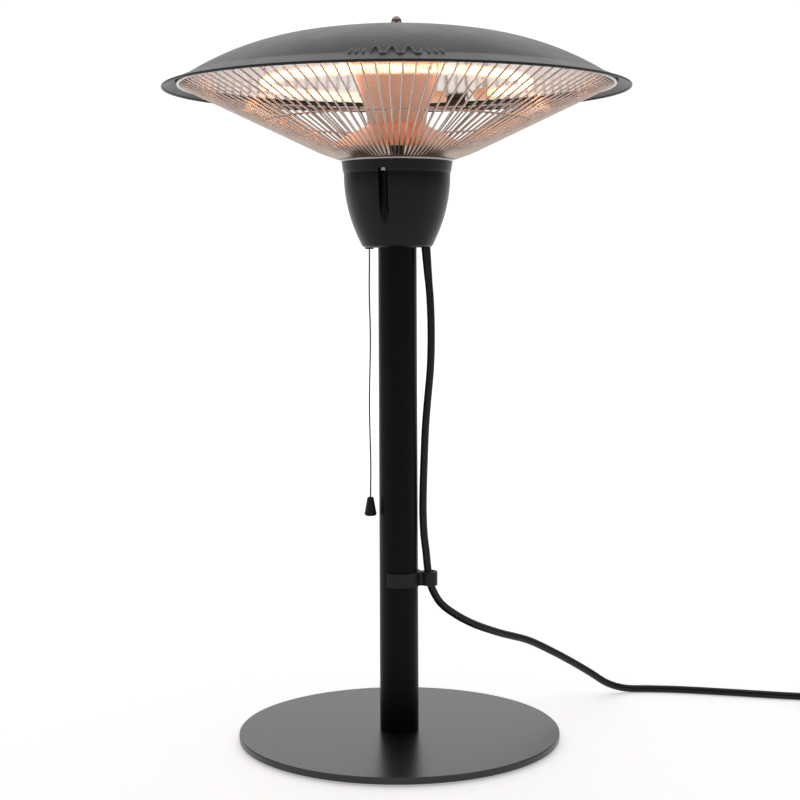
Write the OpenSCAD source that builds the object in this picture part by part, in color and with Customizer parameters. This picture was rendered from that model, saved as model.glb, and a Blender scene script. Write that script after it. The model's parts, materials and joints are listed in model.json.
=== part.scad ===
// Table-top outdoor heater: a round dome over a ring-shaped halogen lamp in a wire guard,
// carried by a switch housing on a pole with a flat round base. Millimetres, +Z up,
// origin on the floor under the pole's axis. The front faces -Y.

/* [Base] */
// Diameter of the round base plate
base_d = 290; // [240:5:360]
// Thickness of the base plate
base_t = 6; // [4:0.5:10]
// Height of the rubber pads under the plate
pad_h = 1.8; // [1:0.2:4]

/* [Pole] */
// Outer diameter of the pole
pole_d = 35; // [32:0.5:36]
// Wall thickness of the pole
pole_wall = 1.5; // [1:0.25:3]

/* [Housing] */
// Height of the housing's underside above the floor
cup_z = 444.7; // [400:0.1:500]
// Wall thickness of the housing
cup_wall = 2.3; // [1.6:0.1:3]
// Width of the three screw channels
flute_w = 8.2; // [6:0.2:9]

/* [Guard] */
// Number of radial guard wires
guard_wires_n = 108; // [36:4:120]
// Diameter of the guard wires
guard_wire_d = 1.8; // [1.4:0.2:2]
// Diameter of the guard's outer ring wire
outer_ring_d = 3; // [2:0.2:3.2]

/* [Dome] */
// Outer diameter of the dome
dome_d = 425; // [425:1:440]
// Thickness of the dome's sheet
dome_t = 1; // [0.8:0.1:1.2]

/* [Lamp] */
// Radius of the ring lamp
lamp_r = 120; // [110:1:130]
// Outer diameter of the quartz tube
lamp_tube_d = 10; // [8:0.5:11]

/* [Pull switch] */
// Travel of the pull string
pull_travel = 6; // [4:0.5:6]
// Diameter of the pull string
string_d = 1.3; // [1:0.1:2]

/* [Mains cord] */
// Diameter of the mains cord
cord_d = 7; // [6:0.1:7]

/* [Hidden] */
$fn = 48;
eps = 0.01;

// Base and pole
base_r = base_d / 2;
base_top = pad_h + base_t;
pole_r = pole_d / 2;
pole_in = pole_r - pole_wall;
pole_top = cup_z + 17.3;
screw_r = 4;
foot_h = 18;

// Housing cup: its side is one arc, tangent to the vertical at cup_arc_z
cup_top = cup_z + 77.8;
cup_arc_z = cup_top - 10.5;
cup_arc_r = 137.5;
cup_arc_x = 48.5 - cup_arc_r;
cup_floor_r = 28;
cup_floor_t = 2.4;
flute_r = 44.6;
flute_top = cup_top - 7.5;
flute_roof = 3;
flute_angles = [-105, 15, 135];

// Guard
plate_z = cup_top;
plate_t = 1.5;
inner_ring_r = 50.4;
inner_ring_d = 3.2;
inner_ring_z = plate_z + inner_ring_d / 2;
wire_r = guard_wire_d / 2;
guard_bend = [69, plate_z + 8.65];
guard_low = [52.3, plate_z + 2.9];
guard_slope = 0.476;
outer_ring_r = 197.8;
guard_high = [outer_ring_r - outer_ring_d / 2 - 0.1,
    guard_bend[1] + guard_slope * (outer_ring_r - outer_ring_d / 2 - guard_bend[0])];
outer_ring_z = guard_high[1] + 0.1;
hoop_r = 122.5;
hoop_z = guard_bend[1] + guard_slope * (hoop_r - guard_bend[0])
    + guard_wire_d * sqrt(1 + guard_slope * guard_slope) + 0.05;
clip_angles = [45, 135, 225, 315];

// Dome: a shallow cap arc, a rounder shoulder arc, then a flat brim with a rolled lip
dome_r = dome_d / 2;
dome_z = 643.6;
cap_arc = 542;
cap_r = 100;
cap_slope = asin(cap_r / cap_arc);
shoulder_arc = 259;
kink_r = 192;
shoulder_x = cap_r - shoulder_arc * sin(cap_slope);
shoulder_z = dome_z - cap_arc * (1 - cos(cap_slope)) - shoulder_arc * cos(cap_slope);
kink_slope = asin((kink_r - shoulder_x) / shoulder_arc);
kink_z = shoulder_z + shoulder_arc * cos(kink_slope);
brim_slope = 0.434;
lip_r = 1.25;
lip_x = dome_r - lip_r;
lip_z = kink_z - brim_slope * (lip_x - kink_r);
brim_tilt = atan(brim_slope);
rivet_r = 206.4;
function brim_under(r) = kink_z - brim_slope * (r - kink_r) - 1.1 * dome_t;

// Inside the head
tube_r = 6.5;
tube_in = 5;
cone_top = plate_z + 33.5;
cone_low = plate_z + 11.1;
cone_rim = 70;
cone_neck = 27;
sheet_t = 0.8;
refl_z = dome_z - 17.6;
refl_flat = 38;
refl_arc = 398;
refl_rim = 190.5;
lamp_z = 593.5;
lamp_start = 76;
lamp_sweep = 325;
cap_len = 9;
lead_angles = [64, 53];
stud_r = 3;

// Switch housing contents
pull_x = -25.4;
pull_y = -4;
switch_z = cup_z + 15.3;
switch_floor = 1.6;
spring_low = switch_z + switch_floor + 0.5;
spring_h = pull_travel + 4.2;
plunger_low = switch_z - 0.5;
plunger_head = spring_low + spring_h + 0.6;
rotor_z = plunger_head + 5.6;
switch_size = [11, 12, rotor_z - switch_z + 5];
string_low = 218.5;
knob_low = 201.8;
tip_x = -24;
tip_z = plate_z - 11;
cord_x = 25.7;
cord_y = -3;
relief_tilt = 4.4;
clip_z = 144.6;

// Mains cord: free route from inside the housing to the start of the coil
cord_route = [
    [24.5, -3, 462], [25.7, -3, 447], [26.9, -3, 431], [28.1, -3, 416], [29.4, -3, 400],
    [30.2, -3, 380], [30.3, -3, 358], [29.4, -3, 334], [27, -3, 308], [24.8, -3, 282],
    [23.6, -3, 256], [22.6, -3, 230], [22.2, -3, 206], [23, -3, 185], [24.9, -3, 168],
    [26, -3, 156], [27.8, -2.7, 143.5], [31.8, -0.1, 131], [41.5, 7.2, 116.5], [65, 27, 98],
    [94, 54, 82], [123, 80, 69], [148, 100, 53.5], [170, 117, 38.5], [190, 131, 24],
    [207, 141.5, 11.5], [226, 148.5, 4.6], [250, 150, 3.5], [276, 147, 3.5], [304, 141, 3.5],
    [332, 134, 3.5], [358, 127, 3.5], [384, 120.5, 3.5], [402, 117, 3.5], [418, 114.4, 3.5]];
coil_c = [440, 71];
coil_turns = [34, 41];
coil_h = 2 * cord_d;
plug_x = coil_c[0] + coil_turns[1];
plug_z = 19;
plug_y = 26;
plug_r = 19;
tail_z = coil_h + cord_d / 2 + 0.1;
tail_route = concat(
    [for (a = [270:-15:0]) [coil_c[0] + coil_turns[1] * cos(a), coil_c[1] + coil_turns[1] * sin(a),
        tail_z + (a < 30 ? (30 - a) / 30 * 0.7 : 0)]],
    [[plug_x, coil_c[1] - 12, plug_z - 0.2], [plug_x, plug_y + 20, plug_z]]);
string_route = [
    [-25.4, -4, 459.4], [-25.4, -4, 445], [-25.4, -4, 430], [-25.7, -4.1, 412], [-25.5, -4.2, 394],
    [-25, -4, 376], [-24.9, -3.8, 358], [-25.2, -3.8, 340], [-25.7, -4, 322], [-26, -4.2, 304],
    [-25.8, -4.1, 286], [-25.4, -3.9, 268], [-25, -3.8, 250], [-25.1, -3.9, 234], [-25.4, -4, 217]];

// A curve through the points of a route, with steps pieces between two points
function curve_at(p, i, t) =
    let (n = len(p) - 1, a = p[max(0, i - 1)], b = p[i], c = p[min(n, i + 1)], d = p[min(n, i + 2)])
    0.5 * (2 * b + (c - a) * t + (2 * a - 5 * b + 4 * c - d) * t * t
        + (3 * b - a - 3 * c + d) * t * t * t);
function smooth(p, steps) =
    concat([for (i = [0:len(p) - 2], s = [0:steps - 1]) curve_at(p, i, s / steps)],
        [p[len(p) - 1]]);
function unit(v) = v / norm(v);
function tube_ring(c, t, up, r, n) =
    let (v = unit(cross(t, up)), w = cross(v, t))
    [for (k = [0:n - 1]) c + r * (cos(360 * k / n) * v + sin(360 * k / n) * w)];

// A round tube of n sides swept along path; up is any direction that the path never takes
module swept(path, r, n, up) {
    m = len(path);
    points = [for (i = [0:m - 1])
        each tube_ring(path[i], unit(path[min(i + 1, m - 1)] - path[max(i - 1, 0)]), up, r, n)];
    sides = [for (i = [0:m - 2], k = [0:n - 1])
        [i * n + k, i * n + (k + 1) % n, (i + 1) * n + (k + 1) % n, (i + 1) * n + k]];
    start = [for (k = [n - 1:-1:0]) k];
    finish = [for (k = [0:n - 1]) (m - 1) * n + k];
    polyhedron(points, concat(sides, [start, finish]));
}

// Points of an arc in the half plane, from angle a to angle b
function arc(x, z, r, a, b, n) = [for (i = [0:n]) let (t = a + (b - a) * i / n)
    [x + r * cos(t), z + r * sin(t)]];
function polar(r, a, z) = [r * cos(a), r * sin(a), z];

module ring(r, d, z) {
    rotate_extrude($fn = 96) translate([r, z]) circle(d = d, $fn = 24);
}
module tube(r_out, r_in, z, h) {
    translate([0, 0, z]) difference() {
        cylinder(r = r_out, h = h);
        translate([0, 0, -1]) cylinder(r = r_in, h = h + 2);
    }
}
module hex(af, z, h) {
    translate([0, 0, z]) cylinder(d = af / cos(30), h = h, $fn = 6);
}

// ---- Base and pole
module base_plate() {
    edge = 0.8;
    color("#26262a") difference() {
        rotate_extrude($fn = 96) polygon([
            [0, pad_h], [base_r - edge, pad_h], [base_r, pad_h + edge], [base_r, base_top - edge],
            [base_r - edge, base_top], [0, base_top]]);
        translate([0, 0, -1]) cylinder(r = screw_r + 0.3, h = base_top + 2);
        translate([0, 0, pad_h - eps]) cylinder(r1 = 8.5, r2 = screw_r + 0.3, h = 4.2);
    }
}
module base_pads() {
    color("#151515") for (a = [45:90:315]) rotate(a) translate([base_r - 22, 0, 0])
        cylinder(d = 24, h = pad_h);
}
module base_screw() {
    color("silver") difference() {
        union() {
            translate([0, 0, pad_h + 0.3]) cylinder(r1 = 8, r2 = screw_r, h = 4);
            translate([0, 0, pad_h + 4.3]) cylinder(r = screw_r, h = 16);
        }
        hex(5, pad_h, 2.5);
    }
}
module pole_foot_insert() {
    color("gray") tube(pole_in - 0.05, screw_r + 0.02, base_top, foot_h);
}
module pole() {
    color("#1d1d20") tube(pole_r, pole_in, base_top, pole_top - base_top);
}
module pole_head_insert() {
    color("gray") tube(pole_in - 0.05, screw_r + 0.02, pole_top - foot_h, foot_h);
}
module head_bolt() {
    color("silver") difference() {
        union() {
            translate([0, 0, pole_top - 14]) cylinder(r = screw_r, h = 16.1);
            hex(13, pole_top + 2.05, 5.3);
        }
        translate([0, 0, pole_top + 6]) cylinder(r = 3, h = 2);
    }
}

// ---- Switch housing
module support_bracket() {
    leg_y = 19;
    color("#c8c8c4") difference() {
        union() {
            translate([-10, -leg_y, pole_top + 0.02]) cube([20, 2 * leg_y, 2]);
            for (s = [-1, 1]) {
                translate([-10, s > 0 ? leg_y - 2 : -leg_y, pole_top + 0.02])
                    cube([20, 2, plate_z - pole_top - 0.04]);
                translate([-10, s > 0 ? leg_y - 2 : -leg_y - 11, plate_z - 2.02]) cube([20, 13, 2]);
            }
        }
        translate([0, 0, pole_top - 1]) cylinder(r = screw_r + 0.2, h = 4);
        for (s = [-1, 1]) translate([0, s * (leg_y + 5), plate_z - 4]) cylinder(r = 2.1, h = 5);
        translate([0, -leg_y - 1, 480]) rotate([-90, 0, 0]) cylinder(r = 1.8, h = 4);
    }
}
module bracket_screws() {
    color("silver") for (s = [-1, 1]) translate([0, s * 24, 0]) {
        translate([0, 0, plate_z - 5.6]) cylinder(r = 2, h = 5.6 + plate_t + 0.02);
        translate([0, 0, plate_z - 4.6]) cylinder(d = 7, h = 2.5);
        hex(7, plate_z + plate_t + 0.05, 3);
    }
}
module cup_outline(inset, floor_z, top_z) {
    corner = 5 - inset;
    side = [for (i = [0:14]) let (z = floor_z + 7 - inset + (cup_arc_z - floor_z - 7 + inset) * i / 14)
        [cup_arc_x + sqrt(pow(cup_arc_r - inset, 2) - pow(cup_arc_z - z, 2)), z]];
    polygon(concat(
        [[0, floor_z]], arc(side[0][0] - corner - 1.4, floor_z + corner, corner, -90, -30, 5), side,
        [[49.4 - inset, cup_arc_z + 2.6], [50.6 - inset, top_z], [0, top_z]]));
}
module housing_cup() {
    color("#232327") difference() {
        union() {
            rotate_extrude($fn = 96) difference() {
                cup_outline(0, cup_z, cup_top);
                cup_outline(cup_wall, cup_z + cup_floor_t, cup_top + 1);
            }
            intersection() {
                rotate_extrude($fn = 96) cup_outline(0, cup_z, cup_top);
                for (a = flute_angles) rotate(a) translate([flute_r, 0, cup_z + 16])
                    cylinder(d = flute_w + 4, h = flute_top + flute_roof - cup_z - 16);
            }
        }
        for (a = flute_angles) rotate(a) translate([flute_r, 0, cup_z + 10]) {
            cylinder(d = flute_w, h = flute_top - cup_z - 10);
            translate([0, -flute_w / 2, 0]) cube([12, flute_w, flute_top - cup_z - 10]);
            cylinder(r = 2.2, h = cup_top - cup_z);
        }
        translate([0, 0, cup_z - 1]) cylinder(r = pole_r + 0.3, h = 6);
        translate([pull_x, pull_y, cup_z - 1]) cylinder(r = 3.1, h = 6);
        translate([cord_x, cord_y, cup_z - 1]) cylinder(r = 4.75, h = 6);
    }
}
module housing_screws() {
    color("silver") for (a = flute_angles) rotate(a) translate([flute_r, 0, 0]) difference() {
        union() {
            translate([0, 0, flute_top - 2.4]) cylinder(d = 7, h = 2.38);
            translate([0, 0, flute_top - 0.1]) cylinder(r = 2, h = cup_top + plate_t + 1.5 - flute_top);
        }
        translate([0, 0, flute_top - 3]) {
            translate([-0.5, -2, 0]) cube([1, 4, 1.6]);
            translate([-2, -0.5, 0]) cube([4, 1, 1.6]);
        }
    }
}
module pull_bushing() {
    color("#101012") translate([pull_x, pull_y, 0]) difference() {
        union() {
            translate([0, 0, cup_z - 1]) cylinder(r = 3, h = cup_floor_t + 2);
            translate([0, 0, cup_z - 1.2]) cylinder(r = 3.8, h = 1.15);
            intersection() {
                translate([0, 0, cup_z + cup_floor_t + 0.05]) cylinder(r = 3.8, h = 1);
                translate([-pull_x, -pull_y, cup_z]) cylinder(r = 28.2, h = 9);
            }
        }
        translate([0, 0, cup_z - 2]) cylinder(r = 1.5, h = 8);
    }
}
module strain_relief() {
    color("#141416") translate([cord_x, cord_y, cup_z + 1.2]) rotate([0, -relief_tilt, 0])
        rotate_extrude() polygon([
            [cord_d / 2 + 0.1, 5.5], [4.9, 5.5], [4.9, 2], [4.25, 1.8], [4.25, -1.8], [4.7, -2],
            [4.5, -12], [4.1, -31], [cord_d / 2 + 0.1, -32]]);
}

// ---- Pull switch
module pull_switch_body() {
    wall = 1.2;
    color("#e8e4d8") difference() {
        translate([pull_x - switch_size[0] / 2, pull_y - switch_size[1] / 2, switch_z])
            cube(switch_size);
        translate([pull_x - switch_size[0] / 2 + wall, pull_y - switch_size[1] / 2 + wall,
            switch_z + switch_floor])
            cube([switch_size[0] - 2 * wall, switch_size[1] - 2 * wall,
                switch_size[2] - 2 * switch_floor]);
        translate([pull_x, pull_y, switch_z - 1]) cylinder(r = 2.1, h = 4);
        translate([pull_x, pull_y - switch_size[1] / 2 - 1, rotor_z])
            rotate([-90, 0, 0]) cylinder(r = 1.05, h = switch_size[1] + 2);
    }
}
module pull_switch_plunger() {
    color("#c9b27a") translate([pull_x, pull_y, 0]) difference() {
        union() {
            translate([0, 0, plunger_low]) cylinder(r = 1.8, h = plunger_head - plunger_low + 1);
            translate([0, 0, plunger_head]) cylinder(r = 3.6, h = 1.6);
        }
        translate([0, 0, plunger_low - 1]) cylinder(r = 0.8, h = 6);
    }
}
module pull_switch_spring() {
    turns = 6;
    color("silver") swept([for (i = [0:turns * 8]) let (a = 45 * i)
        [pull_x + 2.6 * cos(a), pull_y + 2.6 * sin(a), spring_low + spring_h * i / (turns * 8)]],
        0.25, 6, [0, 0, 1]);
}
module pull_switch_rotor() {
    color("#b8863a") translate([pull_x, pull_y, rotor_z]) rotate([90, 0, 0]) {
        translate([0, 0, -5.8]) cylinder(r = 1, h = 11.6);
        translate([0, 0, -2]) difference() {
            cylinder(r = 3.1, h = 4);
            for (a = [0:90:270]) rotate(a) translate([3.3, 0, -1]) cylinder(r = 1, h = 6);
        }
    }
}
module pull_string() {
    color("#1a1a1a") swept(smooth(string_route, 2), string_d / 2, 8, [0, 1, 0]);
}
module pull_knob() {
    top = string_low;
    color("#1c1c1e") translate([string_route[14][0], string_route[14][1], 0]) rotate_extrude()
        polygon([[0.75, top], [2.4, top], [2.95, top - 0.8], [5.2, knob_low + 3.2],
            [5.65, knob_low + 1.6], [4.4, knob_low], [3.2, knob_low], [3.2, knob_low + 8],
            [0.75, knob_low + 10]]);
}

// ---- Electrical parts in the housing
module terminal_block() {
    color("#e9e7dc") difference() {
        translate([14, -9, plate_z - 11]) cube([17, 18, 10.98]);
        for (x = [18.5, 26.5], y = [-6, 0, 6]) translate([x, y, plate_z - 12]) cylinder(r = 1.7, h = 6);
    }
}
module tip_switch_frame() {
    color("#b9bcc0") difference() {
        union() {
            translate([tip_x - 8, -8, plate_z - 1.52]) cube([16, 16, 1.5]);
            translate([tip_x - 6, -8, tip_z - 4]) cube([12, 1.5, plate_z - tip_z + 3]);
            translate([tip_x - 6, 6.5, tip_z - 26]) cube([12, 1.5, plate_z - tip_z + 25]);
        }
        translate([tip_x, -9, tip_z]) rotate([-90, 0, 0]) cylinder(r = 1.05, h = 18);
    }
}
module tip_pin() {
    color("silver") translate([tip_x, -8.6, tip_z]) rotate([-90, 0, 0]) cylinder(r = 1, h = 17.2);
}
module tip_pendulum() {
    bob_drop = 12;
    color("#c49a3c") translate([tip_x, 0, tip_z]) rotate([-90, 0, 0]) difference() {
        union() {
            translate([0, 0, -4]) cylinder(r = 2.6, h = 8);
            translate([-1.2, 0, -3]) cube([2.4, bob_drop, 6]);
            translate([0, bob_drop, -4]) cylinder(r = 4.5, h = 8);
        }
        translate([0, 0, -5]) cylinder(r = 1.05, h = 10);
    }
}
module tip_microswitch() {
    color("#2a2a2c") union() {
        translate([tip_x - 6, -3, tip_z - 26]) cube([12, 9.48, 6.5]);
        translate([tip_x - 1, 0, tip_z - 20]) cylinder(r = 0.9, h = 1.7);
    }
}
module supply_leads() {
    color("#7a3f1f") for (y = [-1.3, 1.3]) swept(smooth([[24.2, -3 + y, 462.6], [24, -3 + y, 470],
        [26, -2 + 1.6 * y, 484], [27, 2.3 * y, 498], [26.5, 4.6 * y, 506],
        [26.5, 4.6 * y, plate_z - 8]], 2), 1.1, 8, [0, 1, 0]);
}
module earth_lead() {
    color("#8fae3a") swept(smooth([[22, -5.2, 462.6], [20, -9, 467], [16, -15, 473], [10, -22, 479],
        [4.6, -22.6, 480]], 3), 0.9, 8, [0, 0, 1]);
}
module earth_screw() {
    color("#c9a94a") translate([0, -21.6, 480]) rotate([-90, 0, 0]) {
        cylinder(d = 6.5, h = 2.5);
        cylinder(r = 1.78, h = 7);
    }
}
module switch_lead() {
    color("#3a5a8c") swept(smooth([[18.5, 0, plate_z - 8], [18.5, 0, 508], [14, -2, 503],
        [6, -11.5, 498], [-8, -13, 494], [-16, -11, 490],
        [pull_x + 3, pull_y - 3, switch_z + switch_size[2] + 0.8]], 3),
        0.9, 8, [0, 1, 0]);
}

// ---- Guard
module guard_base_plate() {
    color("#d8d8d8") difference() {
        translate([0, 0, plate_z]) cylinder(r = inner_ring_r - inner_ring_d / 2 - 0.05, h = plate_t);
        translate([0, 0, plate_z - 1]) cylinder(r = tube_r + 0.1, h = 4);
        for (a = flute_angles) rotate(a) translate([flute_r, 0, plate_z - 1]) cylinder(r = 2.1, h = 4);
        for (s = [-1, 1]) translate([0, s * 24, plate_z - 1]) cylinder(r = 2.1, h = 4);
    }
}
module guard_inner_ring() {
    color("#dcdcdc") ring(inner_ring_r, inner_ring_d, inner_ring_z);
}
module guard_wires() {
    color("#cfcfcf") for (i = [0:guard_wires_n - 1]) let (a = 360 * (i + 0.5) / guard_wires_n)
        swept([polar(guard_low[0], a, guard_low[1]), polar(guard_bend[0], a, guard_bend[1]),
            polar(guard_high[0], a, guard_high[1])], wire_r, 6, [-sin(a), cos(a), 0]);
}
module guard_hoop() {
    color("#cfcfcf") ring(hoop_r, guard_wire_d, hoop_z);
}
module guard_outer_ring() {
    color("#dcdcdc") ring(outer_ring_r, outer_ring_d, outer_ring_z);
}
module guard_clips() {
    top = outer_ring_z - outer_ring_d / 2 - 0.05;
    fold = outer_ring_r + 3.2;
    near = outer_ring_r + 5.6;
    far = outer_ring_r + 10.8;
    color("#a8a8a8") for (a = clip_angles) rotate(a + 1.2) difference() {
        rotate([90, 0, 0]) translate([0, 0, -3.2]) linear_extrude(6.4) polygon([
            [outer_ring_r - 2.6, top - 1], [outer_ring_r - 2.6, top], [fold, top],
            [near, brim_under(near) - 0.1], [far, brim_under(far) - 0.1],
            [far, brim_under(far) - 1.2], [near + 0.5, brim_under(near + 0.5) - 1.2],
            [fold + 0.5, top - 1]]);
        translate([rivet_r, 0, brim_under(rivet_r)]) rotate([0, brim_tilt, 0])
            translate([0, 0, -4]) cylinder(r = 1.25, h = 8);
    }
}
module clip_screws() {
    color("#8c8c8c") for (a = clip_angles) rotate(a + 1.2)
        translate([rivet_r, 0, brim_under(rivet_r)]) rotate([0, brim_tilt, 0]) {
            translate([0, 0, -2.2]) cylinder(r1 = 1.5, r2 = 1.9, h = 1);
            translate([0, 0, -1.3]) cylinder(r = 1.2, h = 1.1);
        }
}

// ---- Column and reflectors
module support_tube() {
    color("#4a4a4c") difference() {
        tube(tube_r, tube_in, plate_z - 14, refl_z + 8 - plate_z + 14);
        rotate(58.5) translate([0, -4, 588]) cube([10, 8, 24]);
    }
}
module tube_nuts() {
    color("#5a5a5c") for (z = [plate_z - 4.05, plate_z + plate_t + 0.05, cone_top - 5.05,
        refl_z + sheet_t + 0.05])
        difference() {
            hex(17, z, 4);
            translate([0, 0, z - 1]) cylinder(r = tube_r + 0.02, h = 6);
        }
}
module tube_stud() {
    color("silver") {
        translate([0, 0, refl_z - 8]) cylinder(r = tube_in - 0.02, h = 14);
        translate([0, 0, refl_z + 6 - eps]) cylinder(r = stud_r, h = 19);
    }
}
module lower_cone() {
    color("#d9a08a") rotate_extrude($fn = 96) polygon([
        [tube_r + 0.1, cone_top], [cone_neck, cone_top], [cone_rim, cone_low],
        [cone_rim, cone_low - sheet_t], [cone_rim - 1, cone_low - sheet_t],
        [cone_neck - 0.5, cone_top - sheet_t], [tube_r + 0.1, cone_top - sheet_t]]);
}
function funnel_r(z) = 26.5 + 10.5 * pow((z - cone_top) / 44, 1.35);
module column_funnel() {
    low = cone_top + 0.05;
    high = refl_z - 0.2;
    steps = 10;
    outer = [for (i = [0:steps]) let (z = low + (high - low) * i / steps) [funnel_r(max(z, cone_top)), z]];
    inner = [for (i = [steps:-1:0]) [outer[i][0] - sheet_t, outer[i][1]]];
    color("#e3b49c") rotate_extrude($fn = 96) polygon(concat(outer, inner));
}
module inner_reflector() {
    top = refl_z + sheet_t;
    zc = refl_z - refl_arc;
    rim_a = acos((refl_rim - refl_flat) / refl_arc);
    over = arc(refl_flat, zc, refl_arc + sheet_t, 90, rim_a, 12);
    under = arc(refl_flat, zc, refl_arc, rim_a, 90, 12);
    color("#e6d3cc") difference() {
        rotate_extrude($fn = 96) polygon(concat([[tube_r + 0.1, top]], over, under,
            [[tube_r + 0.1, refl_z]]));
        for (a = lead_angles) rotate(a) {
            translate([110, 0, refl_z - 20]) cylinder(r = 2, h = 30);
            translate([14.5, 0, refl_z - 5]) cylinder(r = 2, h = 10);
        }
    }
}
function refl_under(r) = refl_z - refl_arc + sqrt(pow(refl_arc, 2) - pow(r - refl_flat, 2));
module reflector_clamp() {
    low = 590.7;
    color("#2c2a28") rotate(68) rotate_extrude(angle = 12, $fn = 96) polygon([
        [177, refl_under(177) - 0.12], [185.2, refl_under(185.2) - 0.12], [185.2, low], [184, low],
        [184, refl_under(184) - 1.3], [177, refl_under(177) - 1.2]]);
}
module dome_spacer() {
    color("silver") tube(5, stud_r + 0.1, refl_z + 8.1, dome_z - dome_t - 0.15 - refl_z - 8.1);
}

// ---- Dome
module dome() {
    steps = 10;
    cap_out = arc(0, dome_z - cap_arc, cap_arc, 90, 90 - cap_slope, 6);
    side_out = arc(shoulder_x, shoulder_z, shoulder_arc, 90 - cap_slope, 90 - kink_slope, steps);
    side_in = arc(shoulder_x, shoulder_z, shoulder_arc - dome_t, 90 - kink_slope, 90 - cap_slope, steps);
    cap_in = arc(0, dome_z - cap_arc, cap_arc - dome_t, 90 - cap_slope, 90, 6);
    color("#3b3a3d") difference() {
        union() {
            rotate_extrude($fn = 128) polygon(concat(cap_out, side_out,
                [[lip_x, lip_z], [lip_x, lip_z - dome_t]], side_in, cap_in));
            ring(lip_x, 2 * lip_r, lip_z - dome_t / 2);
        }
        translate([0, 0, dome_z - 5]) cylinder(r = stud_r + 0.2, h = 10);
    }
}
module dome_washer() {
    color("silver") tube(6, stud_r + 0.15, dome_z + 0.05, 0.8);
}
module acorn_nut() {
    low = dome_z + 0.9;
    hex_h = 6.1;
    color("#5a4a46") difference() {
        union() {
            intersection() {
                hex(10, low, hex_h);
                translate([0, 0, low]) cylinder(r1 = 5.2, r2 = 6.4, h = 2);
            }
            intersection() {
                hex(10, low + 1.5, hex_h - 1.5);
                translate([0, 0, low + 1.5]) cylinder(r1 = 6.6, r2 = 5.1, h = 4);
            }
            intersection() {
                translate([0, 0, low + hex_h + 0.2]) sphere(r = 4.7);
                translate([-6, -6, low + 2]) cube([12, 12, 10]);
            }
        }
        translate([0, 0, low - 1]) cylinder(r = stud_r + 0.02, h = 8);
    }
}

// ---- Lamp
module lamp_tube() {
    color("#ffe3d2") translate([0, 0, lamp_z]) rotate(lamp_start)
        rotate_extrude(angle = lamp_sweep, $fn = 96) translate([lamp_r, 0]) difference() {
            circle(d = lamp_tube_d, $fn = 32);
            circle(d = lamp_tube_d - 2.4, $fn = 32);
        }
}
module lamp_filament() {
    color("#ffb070") translate([0, 0, lamp_z]) rotate(lamp_start)
        rotate_extrude(angle = lamp_sweep, $fn = 96) translate([lamp_r, 0]) circle(d = 6, $fn = 24);
}
module lamp_end_caps() {
    color("#3a3836") translate([0, 0, lamp_z])
        for (a = [lamp_start - cap_len - 0.05, lamp_start + lamp_sweep + 0.05]) rotate(a)
            rotate_extrude(angle = cap_len, $fn = 96) translate([lamp_r, 0])
                circle(d = lamp_tube_d + 1.4, $fn = 32);
}
module lamp_clips() {
    hold = lamp_tube_d / 2 + 0.8;
    color("#b0aca6") for (a = [180, 286]) rotate(a) translate([lamp_r, 0, lamp_z]) {
        rotate([90, 0, 0]) rotate_extrude($fn = 48) translate([hold, 0]) circle(d = 1.4, $fn = 16);
        translate([0, 0, hold - 0.2]) cylinder(d = 1.8, h = refl_under(lamp_r) - lamp_z - hold - 0.02);
    }
}
module lamp_bracket() {
    color("#6a6866") for (a = [lamp_start - 4.5, lamp_start + lamp_sweep + 4.5]) rotate(a)
        translate([lamp_r, 0, lamp_z]) difference() {
            translate([-3, -0.8, lamp_tube_d / 2 + 0.2]) cube([6, 1.6, refl_under(lamp_r + 3) - lamp_z - 5.35]);
            rotate([90, 0, 0]) translate([0, 0, -4]) cylinder(d = lamp_tube_d + 1.6, h = 8);
        }
}
function lead_path(a, end_a, side) = smooth([
    polar(lamp_r, end_a, lamp_z), polar(lamp_r - 1, (end_a + a) / 2, lamp_z + 1),
    polar(112, a, lamp_z + 8), polar(110, a, 611), polar(108, a, 624), polar(92, a, 630),
    polar(60, a, 632.5), polar(26, a, 634), polar(14.5, a, 630), polar(14.5, a, 618),
    polar(13, a + side * 3, 607), polar(6, a + side * 14, 599), polar(2.6, a + side * 30, 590),
    polar(2.6, a + side * 30, 550), polar(2.6, a + side * 30, 512), polar(5, 30 * side, 504),
    [13, side * 5.4, 504.5], [18.5, side * 6, 508], [18.5, side * 6, plate_z - 8.6]], 2);
module lamp_leads() {
    color("#d8d2c8") {
        swept(lead_path(lead_angles[0], lamp_start - cap_len - 0.2, 1), 0.9, 6, [0.3, 0.9, 0.25]);
        swept(lead_path(lead_angles[1], lamp_start + lamp_sweep + cap_len - 359.8, -1), 0.9, 6,
            [0.3, 0.9, 0.25]);
    }
}

// ---- Mains cord, clip and plug
module cable_clip() {
    h = 12.5;
    bore = 4.95;
    at = [27.9, -2.5];
    color("#18181a") translate([0, 0, clip_z - h / 2]) difference() {
        union() {
            cylinder(r = pole_r + 2.2, h = h);
            translate([at[0], at[1], 0]) cylinder(r = 7.2, h = h);
            translate([pole_r - 1, at[1] - 4, 0]) cube([6, 8, h]);
        }
        translate([0, 0, -1]) cylinder(r = pole_r + 0.15, h = h + 2);
        translate([at[0], at[1], -1]) cylinder(r = bore, h = h + 2);
        translate([at[0], at[1] + 0.5, -1]) cube([12, 3, h + 2]);
        translate([-30, -13, -1]) cube([24, 26, h + 2]);
        translate([-30, -30, -1]) cube([19, 60, h + 2]);
    }
}
module mains_cord() {
    color("#161618") swept(smooth(cord_route, 2), cord_d / 2, 10, [0, 1, 0]);
}
module cord_coil() {
    color("#161618") translate([coil_c[0], coil_c[1], 0]) difference() {
        tube(coil_turns[1] + cord_d / 2, coil_turns[0] - cord_d / 2, 0, coil_h);
    }
}
module cord_tail() {
    color("#161618") swept(smooth(tail_route, 1), cord_d / 2, 10, [0, 0, 1]);
}
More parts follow.
